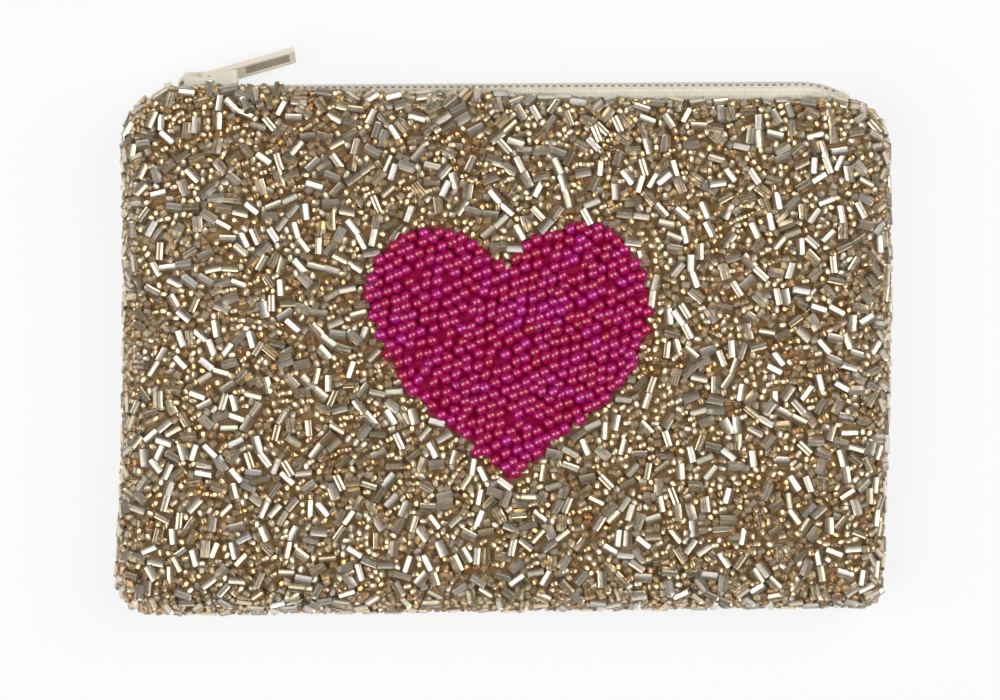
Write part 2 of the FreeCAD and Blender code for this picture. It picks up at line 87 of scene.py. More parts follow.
# %% Floor, lamps and world
floor_size, floor_drop = 3.0, 0.2 * MM
paper_white, paper_glow = 0.9, 0.8
sky_strength = 0.1
lamp_tilt, lamp_turn = math.radians(36), math.radians(22)
lamp_reach, lamp_side, lamp_power = 0.7, 0.56, 3.15


def math_node(nodes, links, operation, first, second=None):
    node = nodes.new("ShaderNodeMath")
    node.operation = operation
    for socket, value in zip(node.inputs, (first, second)):
        if value is None:
            continue
        if isinstance(value, (int, float)):
            socket.default_value = value
        else:
            links.new(value, socket)
    return node.outputs[0]


def seen_ray(nodes, links):
    """One for a ray from the camera, off a mirror or through glass."""
    path = nodes.new("ShaderNodeLightPath")
    total = path.outputs["Is Camera Ray"]
    for ray in ("Is Glossy Ray", "Is Transmission Ray"):
        total = math_node(nodes, links, "MAXIMUM", total, path.outputs[ray])
    return total


floor_mesh = bmesh.new()
bmesh.ops.create_grid(floor_mesh, x_segments=1, y_segments=1, size=floor_size)
bmesh.ops.translate(floor_mesh, verts=floor_mesh.verts, vec=(0, 0, -floor_drop))
floor_data = bpy.data.meshes.new("paper_floor")
floor_mesh.to_mesh(floor_data)
floor_mesh.free()
floor = bpy.data.objects.new("paper_floor", floor_data)
scene.collection.objects.link(floor)

paper = bpy.data.materials.new("white_paper")
paper.use_nodes = True
nodes, links = paper.node_tree.nodes, paper.node_tree.links
nodes.clear()
diffuse = nodes.new("ShaderNodeBsdfDiffuse")
diffuse.inputs["Color"].default_value = (paper_white, paper_white, paper_white, 1)
glow = nodes.new("ShaderNodeEmission")
mix = nodes.new("ShaderNodeMixShader")
links.new(math_node(nodes, links, "MULTIPLY", seen_ray(nodes, links), paper_glow), mix.inputs[0])
links.new(diffuse.outputs[0], mix.inputs[1])
links.new(glow.outputs[0], mix.inputs[2])
links.new(mix.outputs[0], nodes.new("ShaderNodeOutputMaterial").inputs["Surface"])
floor_data.materials.append(paper)

world = bpy.data.worlds.new("studio")
scene.world = world
world.use_nodes = True
background = world.node_tree.nodes["Background"]
background.inputs["Color"].default_value = (1, 1, 1, 1)
background.inputs["Strength"].default_value = sky_strength

for name, side in (("soft_box_right", 1), ("soft_box_left", -1)):
    lamp = bpy.data.objects.new(name, bpy.data.lights.new(name, "AREA"))
    lamp.data.shape = "RECTANGLE"
    lamp.data.size = lamp_side
    lamp.data.size_y = lamp_side
    lamp.data.energy = lamp_power
    flat = Vector((math.cos(lamp_turn), math.sin(lamp_turn), 0)) * side
    aim = flat * math.sin(lamp_tilt) + Vector((0, 0, math.cos(lamp_tilt)))
    lamp.location = aim * lamp_reach
    lamp.rotation_mode = "QUATERNION"
    lamp.rotation_quaternion = aim.to_track_quat("Z", "Y")
    scene.collection.objects.link(lamp)

# %% [markdown]
# Finishes
# Cloth is threads that pass over and under each other, so one group makes that pattern
# for every cloth piece, counted in threads along and across. A repeat of two threads is
# plain weave. It gives a height for the bump and, for the colour, painted shade: each
# thread lighter on its crown and darker where it dips, times a random fibre tone.

# %% Woven threads group
fibre_scale, fibre_detail, shade_gain = 0.7, 4.0, 1.6

woven = bpy.data.node_groups.new("woven_threads", "ShaderNodeTree")
woven.interface.new_socket("Thread Map", in_out="INPUT", socket_type="NodeSocketVector")
woven.interface.new_socket("Repeat", in_out="INPUT", socket_type="NodeSocketFloat")
woven.interface.new_socket("Height", in_out="OUTPUT", socket_type="NodeSocketFloat")
woven.interface.new_socket("Shade", in_out="OUTPUT", socket_type="NodeSocketFloat")
nodes, links = woven.nodes, woven.links
enter = nodes.new("NodeGroupInput")
leave = nodes.new("NodeGroupOutput")
apart = nodes.new("ShaderNodeSeparateXYZ")
links.new(enter.outputs["Thread Map"], apart.inputs[0])
ridges, counts = [], []
for socket in (apart.outputs["X"], apart.outputs["Y"]):
    turn = math_node(nodes, links, "MULTIPLY", socket, math.pi)
    ridges.append(math_node(nodes, links, "ABSOLUTE", math_node(nodes, links, "SINE", turn)))
    counts.append(math_node(nodes, links, "FLOOR", socket))
steps = math_node(nodes, links, "ADD", counts[0], counts[1])
place = math_node(nodes, links, "FLOORED_MODULO", steps, enter.outputs["Repeat"])
half = math_node(nodes, links, "MULTIPLY", enter.outputs["Repeat"], 0.5)
over = math_node(nodes, links, "LESS_THAN", place, half)
under = math_node(nodes, links, "SUBTRACT", 1.0, over)
height = math_node(
    nodes, links, "ADD",
    math_node(nodes, links, "MULTIPLY", ridges[0], over),
    math_node(nodes, links, "MULTIPLY", ridges[1], under),
)
fibre = nodes.new("ShaderNodeTexNoise")
fibre.inputs["Scale"].default_value = fibre_scale
fibre.inputs["Detail"].default_value = fibre_detail
links.new(enter.outputs["Thread Map"], fibre.inputs["Vector"])
links.new(height, leave.inputs["Height"])
# Painted shade: the weave's height makes each thread's crown lighter and its dips darker, times a random
# fibre tone.
shade = math_node(nodes, links, "MULTIPLY", height, fibre.outputs["Fac"])
links.new(math_node(nodes, links, "MULTIPLY", shade, shade_gain), leave.inputs["Shade"])
print("group", woven.name, "with", len(nodes), "nodes")

# %% [markdown]
# Cloth
# Every cloth carries its own thread map, so one function makes all four from two colours,
# the threads each way and the relief of the weave. The ground cloth also takes a print,
# where an attribute of the piece asks for it.

# %% Cloth finishes
plain_weave = 2
weave_strength, cloth_roughness, cloth_sheen = 0.6, 0.85, 0.25


def new_finish(name):
    material = bpy.data.materials.new(name)
    material.use_nodes = True
    tree = material.node_tree
    return material, tree.nodes, tree.links, tree.nodes["Principled BSDF"]


def blend_colour(nodes, links, factor, low, high):
    """Two colours mixed by a factor. The low one may come from another node."""
    mix = nodes.new("ShaderNodeMix")
    mix.data_type = "RGBA"
    links.new(factor, mix.inputs["Factor"])
    if isinstance(low, tuple):
        mix.inputs["A"].default_value = (*low, 1)
    else:
        links.new(low, mix.inputs["A"])
    mix.inputs["B"].default_value = (*high, 1)
    return mix.outputs["Result"]


def cloth_finish(name, light, dark, threads, relief, print_colour=None):
    """Woven cloth: threads along and across the piece's own map, their relief and any print."""
    material, nodes, links, shader = new_finish(name)
    own_map = nodes.new("ShaderNodeUVMap")
    own_map.uv_map = "threads"
    scale = nodes.new("ShaderNodeMapping")
    scale.inputs["Scale"].default_value = (*threads, 1)
    links.new(own_map.outputs["UV"], scale.inputs["Vector"])
    weave = nodes.new("ShaderNodeGroup")
    weave.node_tree = woven
    weave.inputs["Repeat"].default_value = plain_weave
    links.new(scale.outputs["Vector"], weave.inputs["Thread Map"])
    # Painted shade of the weave: the cloth is dark in the dips between threads and light on their crowns.
    colour = blend_colour(nodes, links, weave.outputs["Shade"], dark, light)
    if print_colour:
        printed = nodes.new("ShaderNodeAttribute")
        printed.attribute_name = "print"
        colour = blend_colour(nodes, links, printed.outputs["Fac"], colour, print_colour)
    links.new(colour, shader.inputs["Base Color"])
    bump = nodes.new("ShaderNodeBump")
    bump.inputs["Strength"].default_value = weave_strength
    bump.inputs["Distance"].default_value = relief
    links.new(weave.outputs["Height"], bump.inputs["Height"])
    links.new(bump.outputs["Normal"], shader.inputs["Normal"])
    shader.inputs["Roughness"].default_value = cloth_roughness
    shader.inputs["Sheen Weight"].default_value = cloth_sheen
    return material


ground_finish = cloth_finish(
    "bead_ground", (0.60, 0.39, 0.19), (0.42, 0.25, 0.10), (360, 250), 0.08 * MM, (0.66, 0.0, 0.11)
)
back_finish = cloth_finish("back_cloth", (0.66, 0.56, 0.42), (0.42, 0.33, 0.22), (360, 250), 0.10 * MM)
lining_finish = cloth_finish("lining_cloth", (0.70, 0.62, 0.50), (0.50, 0.42, 0.31), (500, 350), 0.04 * MM)
tape_finish = cloth_finish("zip_tape", (0.98, 0.93, 0.80), (0.80, 0.73, 0.58), (400, 40), 0.12 * MM)
print("cloth finishes made")

# %% [markdown]
# Glass, metal and nylon
# The gold beads are tubes of pale amber glass with a silver-lined square hole: the lining
# flashes white or goes dark as it mirrors the lamps, and the glass round it glows brown.
# So the glass is real glass, and the wall of the hole is metal. Each bead carries its own
# tone as an attribute, because no two in a string are quite alike.

# %% Bead, metal and nylon finishes
def tone_value(nodes):
    """Tone of the bead that a point belongs to."""
    tone = nodes.new("ShaderNodeAttribute")
    tone.attribute_name = "tone"
    return tone.outputs["Fac"]


def tone_colour(nodes, links, stops):
    """Colour that follows the bead's tone through a few stops."""
    ramp = nodes.new("ShaderNodeValToRGB")
    elements = ramp.color_ramp.elements
    while len(elements) < len(stops):
        elements.new(0.5)
    for element, (place, colour) in zip(elements, stops):
        element.position = place
        element.color = (*colour, 1)
    links.new(tone_value(nodes), ramp.inputs["Fac"])
    return ramp.outputs["Color"]


def between(nodes, links, value, low, high):
    """Value from low to high while another goes from nothing to one."""
    span = nodes.new("ShaderNodeMapRange")
    span.inputs["To Min"].default_value = low
    span.inputs["To Max"].default_value = high
    links.new(value, span.inputs["Value"])
    return span.outputs["Result"]


def grain(nodes, links, kind, scale):
    """Texture over the piece's own coordinates."""
    own = nodes.new("ShaderNodeTexCoord")
    texture = nodes.new(kind)
    texture.inputs["Scale"].default_value = scale
    links.new(own.outputs["Object"], texture.inputs["Vector"])
    return texture


def glass_finish(name, stops, clearness, index):
    """Bead glass, a little cloudy: clearness is the share of light that passes straight in."""
    material, nodes, links, shader = new_finish(name)
    links.new(tone_colour(nodes, links, stops), shader.inputs["Base Color"])
    shader.inputs["Transmission Weight"].default_value = clearness
    shader.inputs["Roughness"].default_value = 0.04
    shader.inputs["IOR"].default_value = index
    return material


tube_glass = glass_finish(
    "tube_bead_glass",
    [(0.0, (0.88, 0.73, 0.47)), (0.5, (0.97, 0.89, 0.72)), (1.0, (0.99, 0.96, 0.90))],
    clearness=0.94, index=1.5,
)
amber_glass = glass_finish(
    "amber_bead_glass",
    [(0.0, (0.86, 0.54, 0.22)), (0.5, (0.96, 0.76, 0.46)), (1.0, (0.99, 0.91, 0.74))],
    clearness=0.9, index=1.5,
)
magenta_glass = glass_finish(
    "magenta_bead_glass",
    [(0.0, (0.86, 0.001, 0.12)), (0.5, (0.94, 0.002, 0.30)), (1.0, (0.97, 0.008, 0.56))],
    clearness=0.74, index=1.85,
)

silver_lining, nodes, links, shader = new_finish("silver_lining")
silver_stops = [(0.0, (0.92, 0.86, 0.78)), (1.0, (1.0, 0.97, 0.93))]
links.new(tone_colour(nodes, links, silver_stops), shader.inputs["Base Color"])
links.new(between(nodes, links, tone_value(nodes), 0.12, 0.4), shader.inputs["Roughness"])
shader.inputs["Metallic"].default_value = 0.92

colour_lining, nodes, links, shader = new_finish("magenta_lining")
magenta_stops = [(0.0, (0.86, 0.006, 0.12)), (1.0, (0.92, 0.02, 0.42))]
links.new(tone_colour(nodes, links, magenta_stops), shader.inputs["Base Color"])
shader.inputs["Roughness"].default_value = 0.4

pale_gold, nodes, links, shader = new_finish("pale_gold_plating")
rub = grain(nodes, links, "ShaderNodeTexNoise", 900.0)
rub.inputs["Detail"].default_value = 5.0
plating = blend_colour(nodes, links, rub.outputs["Fac"], (0.93, 0.85, 0.69), (1.0, 0.95, 0.83))
links.new(plating, shader.inputs["Base Color"])
links.new(between(nodes, links, rub.outputs["Fac"], 0.42, 0.56), shader.inputs["Roughness"])
shader.inputs["Metallic"].default_value = 0.2


def thread_finish(name, dark, light):
    """Twisted sewing thread."""
    material, nodes, links, shader = new_finish(name)
    twist = grain(nodes, links, "ShaderNodeTexWave", 1500.0)
    twist.bands_direction = "DIAGONAL"
    links.new(blend_colour(nodes, links, twist.outputs["Fac"], dark, light), shader.inputs["Base Color"])
    shader.inputs["Roughness"].default_value = 0.7
    return material


seam_finish = thread_finish("sewing_thread", (0.52, 0.42, 0.28), (0.74, 0.64, 0.48))
stitch_finish = thread_finish("coil_stitch_thread", (0.26, 0.21, 0.14), (0.42, 0.35, 0.25))

nylon, nodes, links, shader = new_finish("coil_nylon")
cloud = grain(nodes, links, "ShaderNodeTexNoise", 1200.0)
milky = blend_colour(nodes, links, cloud.outputs["Fac"], (0.74, 0.66, 0.52), (0.92, 0.85, 0.71))
links.new(milky, shader.inputs["Base Color"])
shader.inputs["Roughness"].default_value = 0.35
shader.inputs["Subsurface Weight"].default_value = 0.1
shader.inputs["Subsurface Radius"].default_value = (0.4 * MM, 0.3 * MM, 0.2 * MM)
print("finishes:", len(bpy.data.materials))

# %% [markdown]
# The shape of the pouch
# Front and back are two shallow pillows sewn together at the sides and the bottom. A grid
# of squares is the easiest cloth to shape: counted from its border, each ring of squares
# becomes one ring of the pillow, round at the corners. The first rings climb the edge in
# a quarter turn and the rest rise gently to the crown. Along the zip the cloth isn't
# turned down to the seam: it ends in a hem on the tape.

# %% Pouch sizes and rings
pouch_corners = [Vector(p) for p in ((-63.6, -44.2), (62.5, -42.8), (63.8, 40.5), (-62.7, 42.4))]
pouch_radii = (6.5, 2.4, 7.0, 9.5)
side_ends = ((0, 1), (1, 2), (3, 2), (0, 3))
side_outward = [Vector(p) for p in ((0, -1), (1, 0), (0, 1), (-1, 0))]
side_bow, bow_fade = (0.0, 0.9, 0.0, -1.1), 25
corner_growth, corner_limit = 0.4, 0.4
bead_layer, panel_cloth, lining_cloth = 1.25, 0.5, 0.3
front_gap, back_gap, seam_gap = 0.05, 0.02, 0.15
seam_z = 6.0623
front_base, back_base = seam_z + seam_gap, seam_z - seam_gap
edge_width, edge_height = 5.0, 8.08
crown_run, crown_height = 16.0, 1.4
front_hem_z, back_hem_z, hem_slope, hem_swing = 11.7, 1.6, 1.1, 0.8
mouth_left, mouth_right, mouth_low = -58.5, 57.6, 25
columns, rows, edge_rings, ring_step = 100, 68, 8, 1.33
cloth_span = Vector((127.0, 87.0))


def smoothstep(low, high, value):
    share = min(max((value - low) / (high - low), 0), 1)
    return share * share * (3 - 2 * share)


def plateau(value, rise, fall):
    """One between a rise and a fall, each given by where it starts and ends."""
    return smoothstep(*rise, value) * (1 - smoothstep(*fall, value))


def ring_of(column, row):
    """Ring of a grid point, counted from the border."""
    return min(column, columns - column, row, rows - row)


def inset_corner(index, inset):
    """One corner of the outline after all sides moved in by the same distance."""
    here = pouch_corners[index]
    before = (here - pouch_corners[index - 1]).normalized()
    after = (pouch_corners[(index + 1) % 4] - here).normalized()
    first = Vector((-before.y, before.x))
    second = Vector((-after.y, after.x))
    return here + (first + second) * (inset / (1 + first.dot(second)))


def ring_place(column, row, inset, radius_growth, depth):
    """Place in plan of one grid point on its ring."""
    ring = ring_of(column, row)
    across, down = columns - 2 * ring, rows - 2 * ring
    x = (column - ring) / across if across else 0.5
    y = (row - ring) / down if down else 0.5
    corners = [inset_corner(i, inset) for i in range(4)]
    low = corners[0].lerp(corners[1], x)
    high = corners[3].lerp(corners[2], x)
    point = low.lerp(high, y)
    side = 0 if row == ring else 1 if columns - column == ring else 2 if rows - row == ring else 3
    along_side = x if side in (0, 2) else y
    bow = side_bow[side] * math.sin(math.pi * along_side) * max(0, 1 - inset / bow_fade)
    ends = side_ends[side]
    nearest = min(range(4), key=lambda i: (corners[i] - point).length)
    if nearest in ends:
        other = ends[0] if ends[1] == nearest else ends[1]
        along = (corners[other] - corners[nearest]).normalized()
        third = corners[(nearest + 1) % 4] if (nearest + 1) % 4 != other else corners[nearest - 1]
        inward = (third - corners[nearest]).normalized()
        radius = max(pouch_radii[nearest] - depth, 1.0) + radius_growth
        shortest = min((corners[i] - corners[nearest]).length for i in range(4) if i != nearest)
        radius = min(radius, corner_limit * shortest)
        gone = (point - corners[nearest]).length
        if gone < radius:
            turn = math.radians(45) * (1 - gone / radius)
            centre = corners[nearest] + (along + inward) * radius
            point = centre - (inward * math.cos(turn) + along * math.sin(turn)) * radius
    return point + side_outward[side] * bow


def mouth_share(x, y):
    """One along the zip, nothing elsewhere."""
    if y < mouth_low:
        return 0.0
    return plateau(x, (mouth_left - 1, mouth_left + 3), (mouth_right - 3, mouth_right + 1))


def hem_shift(x):
    """How far the hem stands out over the zip: furthest where it closes, least at the right."""
    closed = plateau(x, (-57, -47), (-37, -31))
    right = plateau(x, (-8, 16), (44, 52))
    return hem_swing * closed - hem_swing * right


def edge_profile(column, row):
    """Run and rise of a ring on the rounded edge, and how far past that edge it lies."""
    ring = ring_of(column, row)
    turn = math.pi / 2 * min(ring, edge_rings) / edge_rings
    return edge_width * (1 - math.cos(turn)), math.sin(turn), max(0, ring - edge_rings) * ring_step


def front_place(column, row, depth):
    """Point of the front, depth below the tops of the beads."""
    run, rise, inner = edge_profile(column, row)
    growth = corner_growth * run
    plan = ring_place(column, row, depth + run + inner, growth, depth)
    mouth = mouth_share(plan.x, plan.y)
    shift = mouth * hem_shift(plan.x) * (1 - rise)
    plan = ring_place(column, row, depth + run + inner - shift, growth, depth)
    edge_top = front_base + edge_height - depth
    hem = front_hem_z - (depth - bead_layer) * hem_slope
    low = front_base + (hem - front_base) * mouth
    z = low + (edge_top - low) * rise
    z += crown_height * math.sin(math.pi / 2 * min(inner / crown_run, 1))
    return Vector((plan.x, plan.y, z))


def back_place(column, row, depth):
    """Point of the back, depth inside its outer face."""
    run, rise, inner = edge_profile(column, row)
    inset = bead_layer + depth + run + inner
    plan = ring_place(column, row, inset, corner_growth * run, depth + bead_layer)
    mouth = mouth_share(plan.x, plan.y)
    high = back_base + (back_hem_z - back_base) * mouth
    return Vector((plan.x, plan.y, high + (depth - high) * rise))


print("pouch grid", columns, "by", rows, "squares,", edge_rings, "rings on the edge")

# %% [markdown]
# The heart
# The outline is two lobes and two flanks drawn through a few listed points. The beads
# inside it are sewn in rows that climb to the right.

# %% Heart outline
heart_centre = Vector((1.0, -1.2))
heart_half_size = Vector((22.8, 20.6))
heart_shares = [
    (0.0, 0.68), (0.16, 0.88), (0.40, 1.0), (0.65, 1.0), (0.88, 0.84), (1.0, 0.51), (1.0, 0.2), (0.92, -0.05),
    (0.78, -0.28), (0.59, -0.46), (0.03, -1.0), (-0.51, -0.51), (-0.67, -0.33), (-0.79, -0.14), (-0.93, 0.14),
    (-1.0, 0.45), (-0.95, 0.68), (-0.82, 0.86), (-0.66, 0.96), (-0.5, 0.97), (-0.32, 0.93), (-0.14, 0.81),
]
heart_line = [heart_centre + Vector((x * heart_half_size.x, y * heart_half_size.y)) for x, y in heart_shares]


def in_heart(x, y):
    """Whether a place in plan lies inside the heart."""
    inside = False
    for i, here in enumerate(heart_line):
        last = heart_line[i - 1]
        if (here.y > y) != (last.y > y):
            if x < last.x + (here.x - last.x) * (y - last.y) / (here.y - last.y):
                inside = not inside
    return inside


print("heart outline of", len(heart_line), "points")

# %% [markdown]
# The cloth
# The cloth under the heart is printed in its colour, so that no pale ground shows between
# the beads. The front is made in two halves, one to each side of the middle.

# %% Cloth pieces of the pouch
def add_piece(name, shape, *finishes):
    """New object of a shape, which is freed, with its finishes."""
    mesh = bpy.data.meshes.new(name)
    shape.to_mesh(mesh)
    shape.free()
    for finish in finishes:
        mesh.materials.append(finish)
    piece = bpy.data.objects.new(name, mesh)
    scene.collection.objects.link(piece)
    return piece


def shaped_grid(across, down, place):
    """Grid with its own thread map, each point moved to where place puts it, in millimetres."""
    shape = bmesh.new()
    shape.loops.layers.uv.new("threads")
    bmesh.ops.create_grid(shape, x_segments=across, y_segments=down, size=0.5, calc_uvs=True)
    for vert in shape.verts:
        column = round((vert.co.x + 0.5) * across)
        row = round((vert.co.y + 0.5) * down)
        vert.co = place(column, row) * MM
    for face in shape.faces:
        face.smooth = True
    shape.normal_update()
    return shape


def lay_threads(shape):
    """Lets the threads of a whole cloth run straight across it, whatever its grid does."""
    threads = shape.loops.layers.uv["threads"]
    for face in shape.faces:
        for loop in face.loops:
            plan = loop.vert.co / MM
            loop[threads].uv = (plan.x / cloth_span.x + 0.5, plan.y / cloth_span.y + 0.5)


def half_of(shape, side):
    """Copy of a shape on one side of the middle, 1 for the right and -1 for the left."""
    part = shape.copy()
    everything = part.verts[:] + part.edges[:] + part.faces[:]
    bmesh.ops.bisect_plane(
        part, geom=everything, plane_co=(0, 0, 0), plane_no=(side, 0, 0), clear_inner=True, dist=0.000001
    )
    return part


def thicken(piece, thickness, offset):
    wall = piece.modifiers.new("cloth_thickness", "SOLIDIFY")
    wall.thickness = thickness * MM
    wall.offset = offset


sides = (("left", -1), ("right", 1))


def follow_mouth(piece):
    """Puts the piece's place into its mesh, which stays where it was made."""
    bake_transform(piece)


front_cloth = shaped_grid(columns, rows, lambda c, r: front_place(c, r, bead_layer))
lay_threads(front_cloth)
printed = front_cloth.verts.layers.float.new("print")
for vert in front_cloth.verts:
    vert[printed] = 1.0 if in_heart(vert.co.x / MM, vert.co.y / MM) else 0.0
cloth_tree = BVHTree.FromBMesh(front_cloth)
cloth_faces = [(f.calc_area(), f.calc_center_median(), f.normal.copy()) for f in front_cloth.faces]
for word, side in sides:
    piece = add_piece("bead_ground_cloth_" + word, half_of(front_cloth, side), ground_finish)
    thicken(piece, panel_cloth, -1)
    follow_mouth(piece)
    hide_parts("front_panel")

lining_depth = bead_layer + panel_cloth + front_gap
front_lining = shaped_grid(columns, rows, lambda c, r: front_place(c, r, lining_depth))
lay_threads(front_lining)
for word, side in sides:
    piece = add_piece("front_lining_cloth_" + word, half_of(front_lining, side), lining_finish)
    thicken(piece, lining_cloth, -1)
    follow_mouth(piece)
    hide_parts("front_lining")

inner_depth, inner_cloth = panel_cloth + back_gap, lining_cloth - back_gap
for name, depth, thickness, finish, node, slot in (
    ("back_cloth", 0.0, panel_cloth, back_finish, "back_panel", "back_cloth"),
    ("back_lining_cloth", inner_depth, inner_cloth, lining_finish, "back_lining", "lining_cloth"),
):
    shape = shaped_grid(columns, rows, lambda c, r: back_place(c, r, depth))
    lay_threads(shape)
    piece = add_piece(name, shape, finish)
    thicken(piece, thickness, 1)
    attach(piece, "pouch")
    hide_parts(node)
print("cloth faces", len(cloth_faces), "area", round(sum(f[0] for f in cloth_faces) * 1e6), "mm2")

# %% [markdown]
# The seam
# Front and back are sewn together over the edge, with a slanting stitch every few
# millimetres down the sides and along the bottom. A stitch is a short length of thread,
# so a stretched ball is enough.

# %% Seam stitches
seam_stitch, seam_slant, seam_out = (0.2, 0.2, 0.8), 0.5, 0.1


def border():
    """Grid points round the border, in order."""
    bottom = [(column, 0) for column in range(columns)]
    right = [(columns, row) for row in range(rows)]
    top = [(columns - column, rows) for column in range(columns)]
    left = [(0, rows - row) for row in range(rows)]
    return bottom + right + top + left


seam_thread = bmesh.new()
seam_points = [(front_place(c, r, bead_layer), back_place(c, r, 0.0)) for c, r in border()]
for (upper, lower), (ahead, _) in zip(seam_points[::2], seam_points[1::2]):
    if mouth_share(upper.x, upper.y) > 0:
        continue
    along = (ahead - upper).normalized()
    outward = along.cross(Vector((0, 0, 1)))
    slant = (Vector((0, 0, 1)) + along * seam_slant).normalized()
    turn = Matrix((outward, slant.cross(outward), slant)).transposed().to_4x4()
    middle = (upper + lower) / 2 + outward * seam_out
    spread = Matrix.Diagonal((*(size * MM for size in seam_stitch), 1))
    place = Matrix.Translation(middle * MM) @ turn @ spread
    bmesh.ops.create_uvsphere(seam_thread, u_segments=6, v_segments=4, radius=1.0, matrix=place)
for face in seam_thread.faces:
    face.smooth = True
piece = add_piece("side_seam_thread", seam_thread, seam_finish)
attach(piece, "pouch")
print("seam thread faces", len(piece.data.polygons))

# %% [markdown]
# The zip
# The zip runs along the top edge and bends down into both corners. Its path is a straight
# line with an arc at each end, and everything on the zip is put on that path by one
# function: how far along, how far out from the tape's face, and how far across from the
# line where the two halves meet.

# %% Zip path
ridge_y = 41.85
zip_rise = math.radians(0.35)
zip_lean = math.radians(18)
left_bend_x, left_bend_radius, left_sweep = -52.0, 8.0, math.radians(42)
right_bend_x, right_bend_radius, right_sweep = 49.0, 14.0, math.radians(33)
parting_x, parting_share = -47.5, 0.2
zip_place = Matrix.Translation((0, ridge_y, seam_z)) @ Matrix.Rotation(zip_rise, 4, "Z")


def leaning(outward, across):
    """Outward and across in the zip's leaning section, as a step in Y and one in Z."""
    y = outward * math.cos(zip_lean) + across * math.sin(zip_lean)
    return y, across * math.cos(zip_lean) - outward * math.sin(zip_lean)


def zip_point(place, y, z, ahead=0.0):
    """Point on the zip, y out from its path and z above it, in millimetres."""
    if place < left_bend_x:
        turn = (left_bend_x - place) / left_bend_radius
        normal = Vector((-math.sin(turn), math.cos(turn), 0))
        point = Vector((left_bend_x, -left_bend_radius, 0)) + normal * left_bend_radius
    elif place > right_bend_x:
        turn = (place - right_bend_x) / right_bend_radius
        normal = Vector((math.sin(turn), math.cos(turn), 0))
        point = Vector((right_bend_x, -right_bend_radius, 0)) + normal * right_bend_radius
    else:
        normal = Vector((0, 1, 0))
        point = Vector((place, 0, 0))
    direction = Vector((normal.y, -normal.x, 0))
    return zip_place @ (point + direction * ahead + normal * y + Vector((0, 0, z)))


def parting(place):
    """How far the slider's post holds each half off the middle."""
    return max(0, parting_x - place) * parting_share


print("zip leans", round(math.degrees(zip_lean)), "degrees, ridge at y", ridge_y, "mm")

# %% [markdown]
# The tapes
# Each tape is folded: flat beside the coil, then round a fold and in under the front or
# the back. The front tape is made in two halves, as the front cloth is.

# %% Zip tapes
tape_thickness, tape_edge, tape_flat, fold_radius, tape_depth = 0.5, 0.35, 3.65, 0.5, 7.0
tape_slack = 0.04
tape_wall = tape_thickness - tape_slack
tape_start = left_bend_x - left_bend_radius * left_sweep
tape_end = right_bend_x + right_bend_radius * right_sweep
tape_columns = 180
web_steps, fold_steps, flat_steps = 4, 6, 6


def tape_section(step, side, edge):
    """One point of the tape's middle surface: web, fold, then the flat beside the coil."""
    centre_y, centre_z = leaning(-tape_thickness - fold_radius, side * tape_flat)
    middle = fold_radius + tape_thickness / 2
    if step <= web_steps:
        return -tape_depth + (centre_y + tape_depth) * step / web_steps, centre_z + side * middle
    step -= web_steps
    if step <= fold_steps:
        full = math.radians(90) + side * zip_lean
        turn = math.radians(90) - full * step / fold_steps
        return centre_y + middle * math.cos(turn), centre_z + side * middle * math.sin(turn)
    share = (step - fold_steps) / flat_steps
    return leaning(-tape_thickness / 2, side * (tape_flat + (edge - tape_flat) * share))


def tape_place(column, row, side):
    """Point of a tape's grid, 1 for the front tape and -1 for the back."""
    place = tape_start + (tape_end - tape_start) * column / tape_columns
    y, z = tape_section(row, side, tape_edge + parting(place))
    return zip_point(place, y, z)


tape_rows = web_steps + fold_steps + flat_steps
front_tape = shaped_grid(tape_columns, tape_rows, lambda c, r: tape_place(c, r, 1))
for word, side in sides:
    piece = add_piece("front_zip_tape_cloth_" + word, half_of(front_tape, side), tape_finish)
    thicken(piece, tape_wall, 0)
    follow_mouth(piece)
    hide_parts("front_zip_tape")
front_tape.free()

back_tape = shaped_grid(tape_columns, tape_rows, lambda c, r: tape_place(c, r, -1))
bmesh.ops.reverse_faces(back_tape, faces=back_tape.faces)
piece = add_piece("back_zip_tape_cloth", back_tape, tape_finish)
thicken(piece, tape_wall, 0)
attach(piece, "pouch")
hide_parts("back_zip_tape")
print("tape from", round(tape_start, 1), "to", round(tape_end, 1), "mm")

# %% [markdown]
# Stitches along the coil
# A row of short stitches, one to each turn of the coil, holds it to its tape. They are
# made as stretched balls on the fold of the front tape.

# %% Coil stitches
coil_pitch = 1.2
stitch_slope, stitch_size = math.radians(62), (0.34, 0.2, 0.14)
stitch_margin, stitch_ends = 3, 4


def row_of_stitches(places):
    """Short stitches along the zip, one at each place, on the fold of the front tape."""
    shape = bmesh.new()
    fold_y, fold_z = leaning(-tape_thickness - fold_radius, tape_flat)
    reach = fold_radius + tape_thickness
    out_y, out_z = math.cos(stitch_slope), math.sin(stitch_slope)
    spread = Matrix.Diagonal((*(Vector(stitch_size) * MM), 1))
    for place in places:
        spot = zip_point(place, fold_y + reach * out_y, fold_z + reach * out_z)
        ahead = zip_point(place, 0, 0, 1.0) - zip_point(place, 0, 0)
        outward = Vector((-ahead.y, ahead.x, 0)) * out_y + Vector((0, 0, out_z))
        turn = Matrix((ahead, outward.cross(ahead), outward)).transposed().to_4x4()
        at = Matrix.Translation(spot * MM) @ turn @ spread
        bmesh.ops.create_uvsphere(shape, u_segments=8, v_segments=5, radius=1.0, matrix=at)
    for face in shape.faces:
        face.smooth = True
    return shape


stitch_count = int((tape_end - tape_start - stitch_ends) / coil_pitch)
stitch_places = [tape_start + stitch_margin + coil_pitch * i for i in range(stitch_count)]
for word, side in sides:
    kept = [place for place in stitch_places if (place >= 0) == (side > 0)]
    piece = add_piece("coil_stitches_" + word, row_of_stitches(kept), stitch_finish)
    follow_mouth(piece)
print("coil stitches", len(stitch_places))

# %% [markdown]
# The coils
# Each half of the zip is one nylon wire wound flat: over the core cord, round the head
# that hooks between the other half's heads, and back under. A curve through four points
# a turn, with a round bevel, is the quickest true winding. The two halves are half a
# pitch apart.

